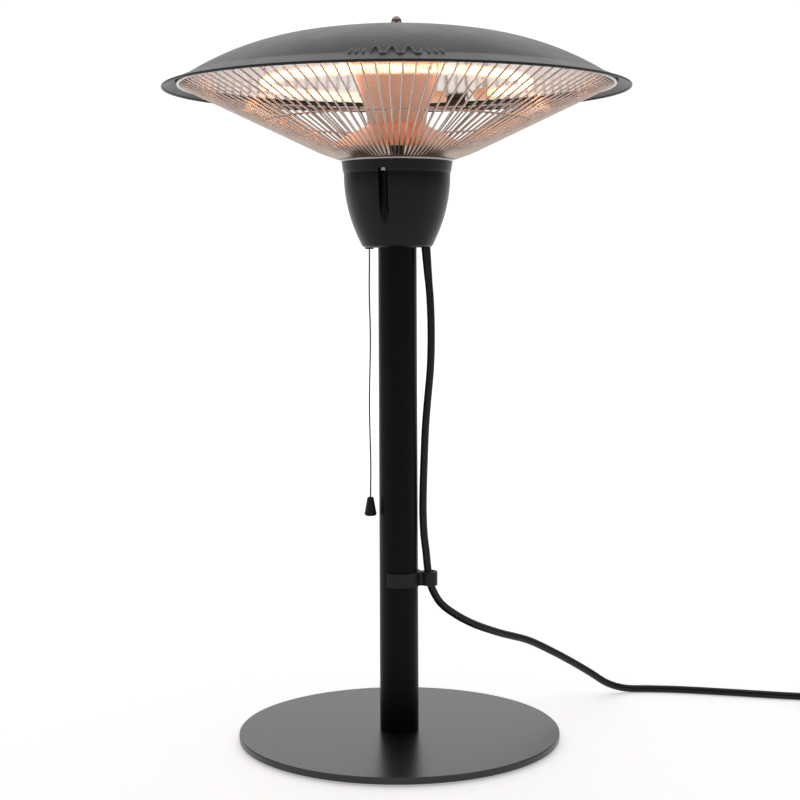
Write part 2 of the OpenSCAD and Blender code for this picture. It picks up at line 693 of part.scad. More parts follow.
module cord_tie() {
    wide = coil_turns[1] - coil_turns[0] + cord_d;
    color("#e8e8e8") translate([coil_c[0], coil_c[1], 0]) rotate(-60) translate([
        (coil_turns[0] + coil_turns[1]) / 2 - wide / 2 - 1.3, -2.5, 0]) difference() {
        cube([wide + 2.6, 5, coil_h + 1.2]);
        translate([0.9, -1, -1]) cube([wide + 0.8, 7, coil_h + 1.1]);
    }
}
module plug_body() {
    color("#18181a") translate([plug_x, plug_y, plug_z]) rotate([90, 0, 0]) difference() {
        rotate_extrude($fn = 48) polygon([
            [0, -20], [4.5, -20], [5.2, -4], [8, 0], [15, 8], [plug_r, 12], [plug_r, 36],
            [plug_r - 0.8, 37], [0, 37]]);
        translate([0, 0, -21]) cylinder(d = cord_d + 0.1, h = 1.02);
        for (s = [-1, 1]) translate([s * 9.5, 0, 33]) cylinder(d = 4.9, h = 5);
        for (s = [-1, 1]) translate([-2.5, s * (plug_r - 1.2) - 1.3, 20]) cube([5, 2.6, 18]);
    }
}
module plug_contacts() {
    color("#c8c8c8") translate([plug_x, plug_y, plug_z]) rotate([90, 0, 0]) {
        for (s = [-1, 1]) translate([s * 9.5, 0, 33.1]) cylinder(d = 4.8, h = 21);
        for (s = [-1, 1]) translate([-2, s * (plug_r - 1.4) - 0.5, 20.1]) cube([4, 1, 16.5]);
    }
}

base_plate();
base_pads();
base_screw();
pole_foot_insert();
pole();
pole_head_insert();
head_bolt();
support_bracket();
bracket_screws();
housing_cup();
housing_screws();
guard_base_plate();
guard_inner_ring();
guard_wires();
guard_hoop();
guard_outer_ring();
guard_clips();
clip_screws();
support_tube();
tube_nuts();
tube_stud();
lower_cone();
column_funnel();
inner_reflector();
reflector_clamp();
dome_spacer();
dome();
dome_washer();
acorn_nut();
lamp_tube();
lamp_filament();
lamp_end_caps();
lamp_clips();
lamp_bracket();
lamp_leads();
pull_bushing();
pull_switch_body();
pull_switch_plunger();
pull_switch_spring();
pull_switch_rotor();
pull_string();
pull_knob();
terminal_block();
tip_switch_frame();
tip_pin();
tip_pendulum();
tip_microswitch();
supply_leads();
switch_lead();
earth_lead();
earth_screw();
strain_relief();
cable_clip();
mains_cord();
cord_coil();
cord_tail();
cord_tie();
plug_body();
plug_contacts();
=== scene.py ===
"""The looks of a table-top outdoor heater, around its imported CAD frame."""

import json
import math
import random

import bpy
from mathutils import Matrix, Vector


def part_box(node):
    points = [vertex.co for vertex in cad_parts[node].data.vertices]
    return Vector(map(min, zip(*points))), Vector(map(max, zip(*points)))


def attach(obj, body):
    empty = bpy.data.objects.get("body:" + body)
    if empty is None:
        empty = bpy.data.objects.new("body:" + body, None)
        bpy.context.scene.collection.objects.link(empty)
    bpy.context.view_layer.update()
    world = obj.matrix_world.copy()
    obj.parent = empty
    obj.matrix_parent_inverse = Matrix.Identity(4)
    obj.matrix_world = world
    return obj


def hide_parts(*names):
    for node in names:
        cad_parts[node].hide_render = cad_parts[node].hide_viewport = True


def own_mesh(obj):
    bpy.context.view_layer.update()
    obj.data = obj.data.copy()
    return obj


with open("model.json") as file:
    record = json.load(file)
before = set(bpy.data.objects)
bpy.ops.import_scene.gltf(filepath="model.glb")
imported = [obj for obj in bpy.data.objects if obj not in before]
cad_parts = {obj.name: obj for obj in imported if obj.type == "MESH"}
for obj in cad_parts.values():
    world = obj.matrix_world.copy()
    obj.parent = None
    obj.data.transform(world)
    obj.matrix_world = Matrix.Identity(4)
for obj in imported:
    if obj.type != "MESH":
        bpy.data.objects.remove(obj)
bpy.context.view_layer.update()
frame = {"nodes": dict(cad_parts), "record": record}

NODES = frame["nodes"]
MM = 0.001
TAU = 2 * math.pi


# ---------------------------------------------------------------- camera and cords

CAMERA_AT = (0.0023, -1.483, 0.428)
CAMERA_ROLL = math.radians(0.25)
LENS_MM = 73.35
FRAME_SHIFT = -0.1675


def make_camera():
    data = bpy.data.cameras.new("camera")
    data.lens = LENS_MM
    data.sensor_width = 36
    data.shift_y = FRAME_SHIFT
    data.clip_start = 0.05
    camera = bpy.data.objects.new("camera", data)
    camera.location = CAMERA_AT
    camera.rotation_euler = (math.pi / 2, CAMERA_ROLL, 0)
    bpy.context.collection.objects.link(camera)
    bpy.context.scene.camera = camera


def catmull(points, steps):
    """A smooth curve through points, with steps pieces between two of them."""
    last = len(points) - 1
    out = []
    for i in range(last):
        a, b = points[max(0, i - 1)], points[i]
        c, d = points[i + 1], points[min(last, i + 2)]
        for s in range(steps):
            t = s / steps
            out.append(0.5 * (2 * b + (c - a) * t + (2 * a - 5 * b + 4 * c - d) * t * t
                              + (3 * b - a - 3 * c + d) * t ** 3))
    out.append(points[last])
    return out


def smoothstep(t):
    t = min(1.0, max(0.0, t))
    return t * t * (3 - 2 * t)


def in_metres(rows):
    return [Vector(row) * MM for row in rows]


CORD_D = 0.007
CORD_ROUTE = in_metres([
    (24.5, -3, 462), (25.7, -3, 447), (26.9, -3, 431), (28.1, -3, 416), (29.4, -3, 400),
    (30.2, -3, 380), (30.3, -3, 358), (29.4, -3, 334), (27, -3, 308), (24.8, -3, 282),
    (23.6, -3, 256), (22.6, -3, 230), (22.2, -3, 206), (23, -3, 185), (24.9, -3, 168),
    (26, -3, 156), (27.8, -2.7, 143.5), (31.8, -0.1, 131), (41.5, 7.2, 116.5), (65, 27, 98),
    (94, 54, 82), (123, 80, 69), (148, 100, 53.5), (170, 117, 38.5), (190, 131, 24),
    (207, 141.5, 11.5), (226, 148.5, 4.6), (250, 150, 3.5), (276, 147, 3.5), (304, 141, 3.5),
    (332, 134, 3.5), (358, 127, 3.5), (384, 120.5, 3.5), (402, 117, 3.5), (418, 114.4, 3.5),
    (440, 112, 3.5)])
COIL_AT = Vector((0.440, 0.071, 0))
COIL_SLOTS = [(0.041, 0.0035), (0.034, 0.0035), (0.034, 0.0105), (0.041, 0.0105), (0.041, 0.0176)]
COIL_MOVES = [1.0, 1.8333, 2.6667, 3.5]
COIL_MOVE_LENGTH = 1 / 6
COIL_STEPS = 48
TAIL_LIFT = 0.0007
TAIL_LIFT_DEGREES = 30
PLUG_REAR = Vector((0.481, 0.046, 0.019))
BEFORE_PLUG = Vector((0.481, 0.059, 0.0188))
STRING_D = 0.0013
STRING_ROUTE = in_metres([
    (-25.4, -4, 459.4), (-25.4, -4, 445), (-25.4, -4, 430), (-25.7, -4.1, 412),
    (-25.5, -4.2, 394), (-25, -4, 376), (-24.9, -3.8, 358), (-25.2, -3.8, 340),
    (-25.7, -4, 322), (-26, -4.2, 304), (-25.8, -4.1, 286), (-25.4, -3.9, 268),
    (-25, -3.8, 250), (-25.1, -3.9, 234), (-25.4, -4, 217)])


def coil_point(turns):
    """A point of the coil after so many turns, clockwise from its far side."""
    radius, height = COIL_SLOTS[0]
    for end, old, new in zip(COIL_MOVES, COIL_SLOTS, COIL_SLOTS[1:]):
        share = smoothstep((turns - end + COIL_MOVE_LENGTH) / COIL_MOVE_LENGTH)
        radius += (new[0] - old[0]) * share
        height += (new[1] - old[1]) * share
    angle = math.pi / 2 - TAU * turns
    return COIL_AT + Vector((radius * math.cos(angle), radius * math.sin(angle), height))


def cord_line():
    """The whole centreline of the mains cord, from inside the housing to the plug."""
    line = catmull(CORD_ROUTE, 4)
    last_move = COIL_MOVES[-1]
    line += [coil_point(i / COIL_STEPS) for i in range(1, int(last_move * COIL_STEPS))]
    radius, height = COIL_SLOTS[-1]
    tail = []
    for degrees in range(270, -1, -15):
        angle = math.radians(degrees)
        lift = TAIL_LIFT * max(0, TAIL_LIFT_DEGREES - degrees) / TAIL_LIFT_DEGREES
        tail.append(COIL_AT + Vector((radius * math.cos(angle), radius * math.sin(angle),
                                      height + lift)))
    return line + catmull(tail + [BEFORE_PLUG, PLUG_REAR], 3)


def tube_rings(line, radius, sides, closed=False):
    """A round tube along a line; radius is one number, or a list with one for each point."""
    vertices, faces = [], []
    count = len(line)
    side = None
    for i, at in enumerate(line):
        if closed:
            ahead = (line[(i + 1) % count] - line[i - 1]).normalized()
        else:
            ahead = (line[min(i + 1, count - 1)] - line[max(i - 1, 0)]).normalized()
        if side is None:
            side = ahead.orthogonal().normalized()
        side = (side - ahead * side.dot(ahead)).normalized()
        up = ahead.cross(side)
        width = radius[i] if isinstance(radius, list) else radius
        for k in range(sides):
            a = TAU * k / sides
            vertices.append(at + width * (math.cos(a) * side + math.sin(a) * up))
    for i in range(count if closed else count - 1):
        j = (i + 1) % count
        for k in range(sides):
            m = (k + 1) % sides
            faces.append((i * sides + k, i * sides + m, j * sides + m, j * sides + k))
    if not closed:
        faces.append(tuple(range(sides - 1, -1, -1)))
        faces.append(tuple((count - 1) * sides + k for k in range(sides)))
    return vertices, faces


def mesh_piece(name, vertices, faces, slot, body="root", sharp=35):
    """A visible piece of its own that rides on a body, still without a material."""
    mesh = bpy.data.meshes.new(name)
    mesh.from_pydata([tuple(v) for v in vertices], [], faces)
    mesh.update()
    mesh.shade_smooth()
    mesh.set_sharp_from_angle(angle=math.radians(sharp))
    piece = bpy.data.objects.new(name, mesh)
    bpy.context.collection.objects.link(piece)
    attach(piece, body)
    return piece


def make_cords():
    line = cord_line()
    cord = mesh_piece("mains_cord_whole", *tube_rings(line, CORD_D / 2, 20), "cord_rubber")
    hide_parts("mains_cord", "cord_coil", "cord_tail")
    line = catmull(STRING_ROUTE, 4)
    string = mesh_piece("pull_string_whole", *tube_rings(line, STRING_D / 2, 12),
                        "string_black", "pull")
    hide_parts("pull_string")
    return cord, string


make_camera()
mains_cord, pull_string = make_cords()


# ---------------------------------------------------------------- materials

ROUGHNESS_VARY = 0.15
BUMP_DEPTH = 0.0002
QUARTZ_ALPHA = 0.22


def nodes_of(material):
    material.use_nodes = True
    tree = material.node_tree
    return tree, tree.nodes["Principled BSDF"]


def noise_node(tree, scale, detail=3.0, stretch=(1, 1, 1)):
    """Noise over the row's own metres, stretched along an axis where wanted."""
    where = tree.nodes.new("ShaderNodeTexCoord")
    mapping = tree.nodes.new("ShaderNodeMapping")
    mapping.inputs["Scale"].default_value = stretch
    noise = tree.nodes.new("ShaderNodeTexNoise")
    noise.inputs["Scale"].default_value = scale
    noise.inputs["Detail"].default_value = detail
    tree.links.new(where.outputs["Object"], mapping.inputs["Vector"])
    tree.links.new(mapping.outputs["Vector"], noise.inputs["Vector"])
    return noise


def surface(name, color, roughness, metallic=0.0, vary=0.12, vary_scale=90, bump=0.0,
            bump_scale=1500, stretch=(1, 1, 1), specular=0.5, emission=None,
            emission_strength=0.0):
    """A procedural surface: colour and roughness wander a little, with a fine bump."""
    material = bpy.data.materials.new(name)
    tree, bsdf = nodes_of(material)
    bsdf.inputs["Metallic"].default_value = metallic
    bsdf.inputs["Specular IOR Level"].default_value = specular
    if emission:
        bsdf.inputs["Emission Color"].default_value = (*emission, 1)
        bsdf.inputs["Emission Strength"].default_value = emission_strength
    noise = noise_node(tree, vary_scale, 4.0, stretch)
    ramp = tree.nodes.new("ShaderNodeValToRGB")
    ramp.color_ramp.elements[0].position = 0.3
    ramp.color_ramp.elements[1].position = 0.7
    ramp.color_ramp.elements[0].color = (*[c * (1 - vary) for c in color], 1)
    ramp.color_ramp.elements[1].color = (*[min(1, c * (1 + vary)) for c in color], 1)
    tree.links.new(noise.outputs["Fac"], ramp.inputs["Fac"])
    tree.links.new(ramp.outputs["Color"], bsdf.inputs["Base Color"])
    spread = tree.nodes.new("ShaderNodeMapRange")
    spread.inputs["To Min"].default_value = max(0.02, roughness * (1 - ROUGHNESS_VARY))
    spread.inputs["To Max"].default_value = min(1, roughness * (1 + ROUGHNESS_VARY))
    tree.links.new(noise.outputs["Fac"], spread.inputs["Value"])
    tree.links.new(spread.outputs["Result"], bsdf.inputs["Roughness"])
    if bump:
        fine = noise_node(tree, bump_scale, 2.0, stretch)
        raised = tree.nodes.new("ShaderNodeBump")
        raised.inputs["Strength"].default_value = bump
        raised.inputs["Distance"].default_value = BUMP_DEPTH
        tree.links.new(fine.outputs["Fac"], raised.inputs["Height"])
        tree.links.new(raised.outputs["Normal"], bsdf.inputs["Normal"])
    return material


def quartz_surface():
    material = surface("quartz_glass", (1.0, 0.8, 0.66), 0.08, vary=0.05, vary_scale=60,
                       emission=(1.0, 0.5, 0.26), emission_strength=0.4)
    bsdf = material.node_tree.nodes["Principled BSDF"]
    bsdf.inputs["Alpha"].default_value = QUARTZ_ALPHA
    return material


MATERIALS = {
    "black_satin": surface("powder_coat", (0.0035, 0.0035, 0.0042), 0.38, bump=0.06,
                           bump_scale=2600, vary=0.2, vary_scale=500, specular=0.1),
    "base_coat": surface("base_powder_coat", (0.0045, 0.0043, 0.005), 0.3, bump=0.06,
                         bump_scale=2600, vary=0.2, vary_scale=500, specular=0.6),
    "housing_black": surface("housing_moulding", (0.0032, 0.003, 0.0052), 0.32, bump=0.05,
                             bump_scale=1200, vary=0.15, vary_scale=300, specular=0.2),
    "dome_paint": surface("dome_enamel", (0.016, 0.0148, 0.0152), 0.4, bump=0.03,
                          bump_scale=900, vary=0.06, vary_scale=40, specular=0.25),
    "pad_rubber": surface("pad_rubber", (0.02, 0.02, 0.02), 0.8, bump=0.2),
    "zinc_steel": surface("zinc_plate", (0.62, 0.62, 0.6), 0.3, 1.0, vary=0.1, bump=0.08,
                          bump_scale=3000),
    "dark_steel": surface("dark_steel", (0.03, 0.028, 0.027), 0.4, 0.6, bump=0.08),
    "chrome": surface("chrome_plate", (0.78, 0.75, 0.72), 0.16, 1.0, vary=0.05,
                      vary_scale=300),
    # Painted lamp light: the guard chrome's warm tint copies the heater lamp's glow on the wires;
    # it is not the chrome's own colour.
    "guard_chrome_painted_lamp_light": surface("guard_chrome_painted_lamp_light", (0.5, 0.41, 0.36), 0.22, 1.0, vary=0.12,
                            vary_scale=120),
    "nut_chrome": surface("dark_nickel", (0.32, 0.27, 0.25), 0.16, 1.0, vary=0.1,
                          vary_scale=300),
    # Painted lamp light: the reflector aluminium's warm tint stands in for the heater lamp's glow
    # on it.
    "polished_aluminium": surface("spun_aluminium_painted_lamp_tint", (0.78, 0.7, 0.65), 0.2, 1.0, vary=0.05,
                                  bump=0.06, bump_scale=700, stretch=(1, 1, 6)),
    # Painted lamp light: the column's peach colour is the heater lamp's warm glow painted into
    # the aluminium's base colour.
    "column_painted_lamp_light": surface("column_aluminium_painted_lamp_light", (0.585, 0.365, 0.27), 0.4, 0.85, vary=0.05,
                              bump=0.05, bump_scale=700, stretch=(1, 1, 6)),
    # Painted lamp light: the cone's peach colour is the heater lamp's warm glow painted into the
    # aluminium's base colour.
    "cone_aluminium_painted_lamp_light": surface("cone_aluminium_painted_lamp_light", (0.84, 0.62, 0.51), 0.4, 0.85, vary=0.05,
                              bump=0.05, bump_scale=700, stretch=(1, 1, 6)),
    # Painted shade: a darkened copy of the chrome, standing in for the dark reflections that the
    # guard rings show.
    "ring_chrome_painted_shade": surface("ring_chrome_painted_shade", (0.36, 0.34, 0.33), 0.2, 1.0, vary=0.05,
                           vary_scale=300),
    "quartz": quartz_surface(),
    "filament": surface("hot_filament", (1.0, 0.6, 0.3), 0.6, vary=0.03,
                        emission=(1.0, 0.62, 0.36), emission_strength=5.5),
    # Painted lamp light: the end ceramics glow though they are no lamp, standing in for the
    # filament's light on them.
    "ceramic": surface("end_ceramic_painted_glow", (0.8, 0.6, 0.46), 0.6, bump=0.2,
                       emission=(1.0, 0.45, 0.2), emission_strength=0.18),
    "lead_sleeve": surface("glass_sleeve", (0.62, 0.58, 0.5), 0.7, bump=0.4, bump_scale=4000),
    "lead_brown": surface("brown_insulation", (0.18, 0.07, 0.035), 0.4),
    "lead_blue": surface("blue_insulation", (0.05, 0.11, 0.36), 0.4),
    "lead_green": surface("green_insulation", (0.3, 0.45, 0.07), 0.4),
    "black_plastic": surface("black_moulding", (0.0075, 0.0073, 0.008), 0.5, bump=0.15,
                             specular=0.35),
    "white_plastic": surface("white_moulding", (0.75, 0.73, 0.66), 0.45, bump=0.1),
    "brass": surface("plain_brass", (0.72, 0.52, 0.22), 0.3, 1.0),
    "string_black": surface("braided_string", (0.005, 0.005, 0.0055), 0.8, bump=0.4,
                            bump_scale=5000, specular=0.15),
    "cord_rubber": surface("cord_jacket", (0.0065, 0.0065, 0.008), 0.4, bump=0.1,
                           bump_scale=1800, specular=0.3),
    "tie_white": surface("tie_band", (0.72, 0.72, 0.72), 0.4),
}

# CAD nodes that look different from the other pieces of their slot; the guard, column and cone
# looks carry painted lamp light in their colour.
NODE_LOOKS = {
    "base_plate": "base_coat",
    "housing_cup": "housing_black",
    "guard_wires": "guard_chrome_painted_lamp_light",
    "guard_hoop": "guard_chrome_painted_lamp_light",
    "column_funnel": "column_painted_lamp_light",
    "lower_cone": "cone_aluminium_painted_lamp_light",
    "acorn_nut": "nut_chrome",
    "lamp_bracket": "zinc_steel",
}


def wear(piece, look):
    """Gives a piece one material, in every slot that it has."""
    material = MATERIALS[look]
    if not piece.material_slots:
        piece.data.materials.append(material)
    for held in piece.material_slots:
        held.link = "OBJECT"
        held.material = material


for row in frame["record"]["subparts"]:
    wear(NODES[row["node"]], NODE_LOOKS.get(row["node"], row["material_slot"]))
wear(mains_cord, "cord_rubber")
wear(pull_string, "string_black")


# ---------------------------------------------------------------- mesh helpers

def put(name, vertices, faces, slot, sharp=35, look=None):
    """A piece on the root body, in its slot's material unless another look is named."""
    piece = mesh_piece(name, vertices, faces, slot, sharp=sharp)
    wear(piece, look or slot)
    return piece


def arc(x, z, radius, start, end, steps):
    """Points of an arc in the half plane of a turned shape, angles in degrees."""
    out = []
    for i in range(steps + 1):
        a = math.radians(start + (end - start) * i / steps)
        out.append((x + radius * math.cos(a), z + radius * math.sin(a)))
    return out


def turned(name, outline, slot, angles, lift, sharp):
    """A closed outline of (radius, height) turned about the Z axis, moved by lift."""
    vertices, faces = [], []
    rows, count = len(angles), len(outline)
    for a in angles:
        for k, (r, z) in enumerate(outline):
            vertices.append(Vector((r * math.cos(a), r * math.sin(a), z)) + lift(a, r, k))
    for i in range(rows):
        j = (i + 1) % rows
        for k in range(count):
            m = (k + 1) % count
            faces.append((i * count + k, j * count + k, j * count + m, i * count + m))
    return put(name, vertices, faces, slot, sharp)


def joined(parts):
    """Several (vertices, faces) pairs as one."""
    vertices, faces = [], []
    for part_vertices, part_faces in parts:
        start = len(vertices)
        vertices += part_vertices
        faces += [tuple(i + start for i in face) for face in part_faces]
    return vertices, faces


def polar(radius, angle, height):
    return Vector((radius * math.cos(angle), radius * math.sin(angle), height))


# ---------------------------------------------------------------- dome

DOME_LOW, DOME_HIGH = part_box("dome")
DOME_R = DOME_HIGH[0]
DOME_T = 0.001
BRIM_T = DOME_T * 1.08
DOME_HOLE_R = 0.0032
CAP_ARC, CAP_R = 0.542, 0.100
SHOULDER_ARC = 0.259
CREASE_R = 0.030
KINK_R = 0.192
BRIM_SLOPE = 0.434
LIP_R = 0.00125
RELIEF_H = 0.0013
RELIEF_AT = 0.1915
RELIEF_HALF = 0.042
RELIEF_WAVE = 0.0135
RELIEF_SWING = 0.0072
RELIEF_MARGIN = 0.0125
RELIEF_SLANT = 1.15
RELIEF_OUT, RELIEF_UP = 0.4, 0.92
RIB_HALF, RIB_EDGE = 0.0007, 0.0011
BAR_HALF, BAR_EDGE = 0.0010, 0.0012
BAR_AT, BAR_PITCH, BAR_SQUEEZE = 0.0258, 0.0056, 0.28


def relief(u, v):
    """Height of the mark, 0 to 1: one wavy rib, and short bars on both sides of it."""
    turn = u * TAU / RELIEF_WAVE
    wave = abs(v - RELIEF_SWING * math.sin(turn))
    wave /= math.hypot(1, RELIEF_SWING * TAU / RELIEF_WAVE * math.cos(turn))
    ends = 1 - smoothstep((abs(u) - 1.5 * RELIEF_WAVE) / 0.001)
    best = ends * (1 - smoothstep((wave - RIB_HALF) / RIB_EDGE))
    for k in range(3):
        near = math.hypot(abs(u) - BAR_AT - BAR_PITCH * k, BAR_SQUEEZE * v)
        best = max(best, 1 - smoothstep((near - BAR_HALF) / BAR_EDGE))
    return best


def crease(shoulder, kink, direction):
    """The fillet between the shoulder arc and the brim, and where the brim starts."""
    up = Vector((-direction.y, direction.x))
    low, high = 0.0, 0.03
    for _ in range(40):
        middle = (low + high) / 2
        centre = kink + direction * middle + up * CREASE_R
        if (centre - shoulder).length < SHOULDER_ARC + CREASE_R:
            low = middle
        else:
            high = middle
    centre = kink + direction * low + up * CREASE_R
    towards = (centre - shoulder).normalized()
    first = math.degrees(math.atan2(-towards.y, -towards.x))
    last = math.degrees(math.atan2(-up.y, -up.x))
    return centre, first, last, low, math.degrees(math.atan2(towards.y, towards.x))


def make_dome():
    slope = math.degrees(math.asin(CAP_R / CAP_ARC))
    cap_z = DOME_HIGH[2] - CAP_ARC
    shoulder_x = CAP_R - SHOULDER_ARC * math.sin(math.radians(slope))
    shoulder_z = cap_z + (CAP_ARC - SHOULDER_ARC) * math.cos(math.radians(slope))
    kink = math.degrees(math.asin((KINK_R - shoulder_x) / SHOULDER_ARC))
    kink_z = shoulder_z + SHOULDER_ARC * math.cos(math.radians(kink))
    direction = Vector((1, -BRIM_SLOPE)).normalized()
    centre, first, last, start_brim, meet = crease(
        Vector((shoulder_x, shoulder_z)), Vector((KINK_R, kink_z)), direction)
    fine_r = RELIEF_AT - RELIEF_MARGIN - shoulder_x
    fine = 90 - math.degrees(math.asin(fine_r / SHOULDER_ARC))
    lip_x = DOME_R - LIP_R
    hole = math.degrees(math.asin(DOME_HOLE_R / CAP_ARC))
    brim_start = Vector((KINK_R, kink_z)) + direction * start_brim
    brim = [(r, brim_start.y - BRIM_SLOPE * (r - brim_start.x))
            for r in [brim_start.x + (lip_x - brim_start.x) * k / 24 for k in range(1, 24)]]
    lip_z = kink_z - BRIM_SLOPE * (lip_x - KINK_R) - DOME_T / 2
    outer = (arc(0, cap_z, CAP_ARC, 90 - hole, 90 - slope, 16)
             + arc(shoulder_x, shoulder_z, SHOULDER_ARC, 90 - slope, fine, 20)[1:]
             + arc(shoulder_x, shoulder_z, SHOULDER_ARC, fine, meet, 18)[1:]
             + arc(centre.x, centre.y, CREASE_R, first, last, 12)[1:] + brim)
    lip = arc(lip_x, lip_z, LIP_R, 75, -190, 14)
    under = ([(r, z - BRIM_T) for r, z in brim[20::-4]]
             + arc(shoulder_x, shoulder_z, SHOULDER_ARC - DOME_T, meet, 90 - slope, 18)
             + arc(0, cap_z, CAP_ARC - DOME_T, 90 - slope, 90 - hole, 12)[1:])
    half = RELIEF_HALF / RELIEF_AT
    front = -math.pi / 2
    fine_steps, coarse = 190, 170
    angles = [front - half + 2 * half * k / fine_steps for k in range(fine_steps)]
    angles += [front + half + (TAU - 2 * half) * k / coarse for k in range(coarse)]

    def lift(a, r, k):
        turn = a - front
        if abs(turn) > half or k >= len(outer):
            return Vector((0, 0, 0))
        height = RELIEF_H * relief(turn * RELIEF_AT, (r - RELIEF_AT) * RELIEF_SLANT)
        return polar(RELIEF_OUT, a, RELIEF_UP) * height

    dome = turned("dome_shell", outer + lip + under, "dome_paint", angles, lift, sharp=60)
    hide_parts("dome")


# ---------------------------------------------------------------- guard

WIRE_COUNT = 108
WIRE_R = 0.0009
WIRE_SWAY = 0.0006
WIRE_INNER_R, WIRE_INNER_RISE = 0.0523, 0.0029
WIRE_BEND_R, WIRE_BEND_RISE = 0.069, 0.00865
WIRE_OUTER_R = 0.1962
WIRE_SLOPE = 0.476
RING_STEPS = 240


def ring_from(node, name, look, sides=14):
    """A wire ring in the place of the node's own ring."""
    low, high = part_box(node)
    wire = (high[2] - low[2]) / 2
    height = (low[2] + high[2]) / 2
    line = [polar(high[0] - wire, TAU * i / RING_STEPS, height) for i in range(RING_STEPS)]
    piece = put(name, *tube_rings(line, wire, sides, closed=True), "chrome", look=look)
    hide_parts(node)


def make_guard():
    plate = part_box("guard_base_plate")[0][2]
    inner = Vector((WIRE_INNER_R, plate + WIRE_INNER_RISE))
    bend = Vector((WIRE_BEND_R, plate + WIRE_BEND_RISE))
    outer = Vector((WIRE_OUTER_R, bend.y + WIRE_SLOPE * (WIRE_OUTER_R - WIRE_BEND_R)))
    random.seed(7)
    parts = []
    for i in range(WIRE_COUNT):
        a = TAU * (i + 0.5) / WIRE_COUNT
        sway = random.uniform(-WIRE_SWAY, WIRE_SWAY)
        line = []
        stops = [inner.lerp(bend, t) for t in (0, 0.5, 0.82)]
        stops += [bend.lerp(outer, t) for t in (0.025, 0.2, 0.4, 0.6, 0.8, 1)]
        for stop in stops:
            part = (stop.x - bend.x) / (outer.x - bend.x)
            turn = a + sway * math.sin(math.pi * min(1, max(0, part))) / stop.x
            line.append(polar(stop.x, turn, stop.y))
        parts.append(tube_rings(line, WIRE_R, 10))
    piece = put("guard_spokes", *joined(parts), "chrome", look="guard_chrome_painted_lamp_light")
    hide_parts("guard_wires")
    ring_from("guard_hoop", "guard_middle_hoop", "guard_chrome_painted_lamp_light")
    ring_from("guard_outer_ring", "guard_rim_ring", "ring_chrome_painted_shade")
    ring_from("guard_inner_ring", "guard_neck_ring", "ring_chrome_painted_shade", sides=20)


# ---------------------------------------------------------------- lamp

LAMP_R = 0.120
LAMP_START = math.radians(76)
LAMP_SWEEP = math.radians(325)
FILAMENT_TURNS = 190
FILAMENT_STEPS = 14
FILAMENT_R = 0.0029
FILAMENT_WIRE_R = 0.0005


def make_filament():
    """The coiled filament inside the ring-shaped lamp."""
    low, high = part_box("lamp_tube")
    height = (low[2] + high[2]) / 2
    points = FILAMENT_TURNS * FILAMENT_STEPS
    line = []
    for i in range(points + 1):
        share = i / points
        a = LAMP_START + LAMP_SWEEP * share
        b = TAU * share * FILAMENT_TURNS
        line.append(polar(LAMP_R + FILAMENT_R * math.cos(b), a,
                          height + FILAMENT_R * math.sin(b)))
    coil = put("filament_coil", *tube_rings(line, FILAMENT_WIRE_R, 5), "filament")
    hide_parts("lamp_filament")


SPRING_TURNS = 6
SPRING_STEPS = 24
SPRING_WIRE_R = 0.00025


def make_spring():
    """The pull switch's return spring, which shortens as the string is pulled."""
    low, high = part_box("pull_switch_spring")
    x, y = (low[0] + high[0]) / 2, (low[1] + high[1]) / 2
    radius = (high[0] - low[0]) / 2 - SPRING_WIRE_R
    height = high[2] - low[2] - 2 * SPRING_WIRE_R
    line = []
    for i in range(SPRING_TURNS * SPRING_STEPS + 1):
        turn = polar(radius, TAU * i / SPRING_STEPS, height * i / (SPRING_TURNS * SPRING_STEPS))
        line.append(Vector((x, y, low[2] + SPRING_WIRE_R)) + turn)
    spring = put("pull_spring_coil", *tube_rings(line, SPRING_WIRE_R, 8), "zinc_steel")
    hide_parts("pull_switch_spring")
    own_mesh(spring)


SLEEVE_R = 0.0042
SLEEVE_TAPER = 0.0006
SLEEVE_TOP_GAP = 0.0005


def make_strain_relief():
    """A sleeve along the cord's own line, which tapers below the housing's underside."""
    low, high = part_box("strain_relief")
    top = high[2] - SLEEVE_TOP_GAP
    line = [at for at in catmull(CORD_ROUTE[:5], 12) if low[2] <= at.z <= top]
    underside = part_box("housing_cup")[0][2]
    widths = []
    for at in line:
        down = (underside - at.z) / (underside - low[2])
        widths.append(SLEEVE_R if at.z > underside else SLEEVE_R - SLEEVE_TAPER * down)
    sleeve = put("strain_relief_sleeve", *tube_rings(line, widths, 24), "cord_rubber")
    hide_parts("strain_relief")


make_dome()
make_guard()
make_filament()
make_spring()
make_strain_relief()


# ---------------------------------------------------------------- stage and light

FLOOR_HALF = 12.0
FLOOR_GLOW_FROM, FLOOR_GLOW_TO = 1.5, 4.5
FLOOR_GLOW_NEAR, FLOOR_GLOW_FAR = 0.41, 0.85


def floor_surface():
    """A pale floor that glows more far out, where the softbox doesn't reach."""
    material = surface("pale_floor", (0.86, 0.86, 0.86), 0.7, vary=0.01, vary_scale=3,
                       emission=(1, 1, 1))
    tree, bsdf = nodes_of(material)
    where = tree.nodes.new("ShaderNodeTexCoord")
    distance = tree.nodes.new("ShaderNodeVectorMath")
    distance.operation = "LENGTH"
    spread = tree.nodes.new("ShaderNodeMapRange")
    spread.inputs["From Min"].default_value = FLOOR_GLOW_FROM
    spread.inputs["From Max"].default_value = FLOOR_GLOW_TO
    spread.inputs["To Min"].default_value = FLOOR_GLOW_NEAR
    spread.inputs["To Max"].default_value = FLOOR_GLOW_FAR
    tree.links.new(where.outputs["Object"], distance.inputs[0])
    tree.links.new(distance.outputs["Value"], spread.inputs["Value"])
    tree.links.new(spread.outputs["Result"], bsdf.inputs["Emission Strength"])
    return material


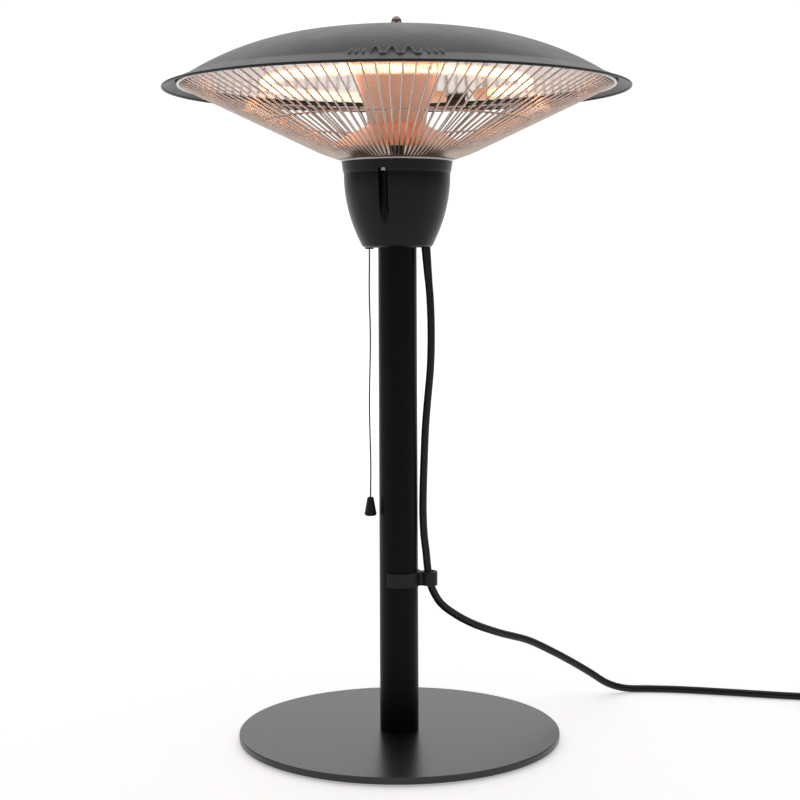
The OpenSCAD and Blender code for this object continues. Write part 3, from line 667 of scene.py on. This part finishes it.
def make_stage():
    corners = [(x * FLOOR_HALF, y * FLOOR_HALF, 0)
               for x, y in ((-1, -1), (1, -1), (1, 1), (-1, 1))]
    mesh = bpy.data.meshes.new("floor")
    mesh.from_pydata(corners, [], [(0, 1, 2, 3)])
    floor = bpy.data.objects.new("floor", mesh)
    bpy.context.collection.objects.link(floor)
    floor.data.materials.append(floor_surface())


def area_light(name, at, towards, size, power):
    data = bpy.data.lights.new(name, "AREA")
    data.shape = "RECTANGLE"
    data.size, data.size_y = size
    data.energy = power
    light = bpy.data.objects.new(name, data)
    light.location = at
    light.rotation_euler = (Vector(towards) - Vector(at)).to_track_quat("-Z", "Y").to_euler()
    bpy.context.collection.objects.link(light)


WORLD_TOWARDS = (0, 1, -0.35)
WORLD_FROM, WORLD_TO = 0.2, 0.9
WORLD_DIM, WORLD_BRIGHT = 0.1, 1.08


def make_world():
    """White behind the object, dim in front of it, as in a studio with a white sweep."""
    world = bpy.data.worlds.new("studio")
    bpy.context.scene.world = world
    world.use_nodes = True
    tree = world.node_tree
    background = tree.nodes["Background"]
    where = tree.nodes.new("ShaderNodeTexCoord")
    facing = tree.nodes.new("ShaderNodeVectorMath")
    facing.operation = "DOT_PRODUCT"
    facing.inputs[1].default_value = WORLD_TOWARDS
    spread = tree.nodes.new("ShaderNodeMapRange")
    spread.inputs["From Min"].default_value = WORLD_FROM
    spread.inputs["From Max"].default_value = WORLD_TO
    spread.inputs["To Min"].default_value = WORLD_DIM
    spread.inputs["To Max"].default_value = WORLD_BRIGHT
    tree.links.new(where.outputs["Generated"], facing.inputs[0])
    tree.links.new(facing.outputs["Value"], spread.inputs["Value"])
    tree.links.new(spread.outputs["Result"], background.inputs["Strength"])
    background.inputs["Color"].default_value = (1, 1, 1, 1)


LAMP_LIGHTS = 16
LAMP_LIGHT_POWER = 0.01
LAMP_LIGHT_SIZE = 0.004
LAMP_GLOW = (1.0, 0.4, 0.22)


def make_lamp_lights():
    """The warm light that the lamp throws, as small lamps along its ring."""
    low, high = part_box("lamp_tube")
    for i in range(LAMP_LIGHTS):
        a = LAMP_START + LAMP_SWEEP * (i + 0.5) / LAMP_LIGHTS
        data = bpy.data.lights.new("lamp_light_%d" % i, "POINT")
        data.energy = LAMP_LIGHT_POWER
        data.color = LAMP_GLOW
        data.shadow_soft_size = LAMP_LIGHT_SIZE
        light = bpy.data.objects.new("lamp_light_%d" % i, data)
        light.location = polar(LAMP_R, a, (low[2] + high[2]) / 2)
        light.visible_camera = False
        bpy.context.collection.objects.link(light)


make_stage()
make_world()
make_lamp_lights()
area_light("top_softbox", (0, 1.2, 2.6), (0, 1.2, 0), (6.0, 6.0), 100)
area_light("left_softbox", (-2.2, -0.5, 0.8), (0, 0, 0.4), (0.7, 1.6), 1.6)
area_light("right_softbox", (2.2, -0.3, 0.8), (0, 0, 0.4), (0.5, 1.6), 0.25)
bpy.context.scene.view_settings.view_transform = "Standard"
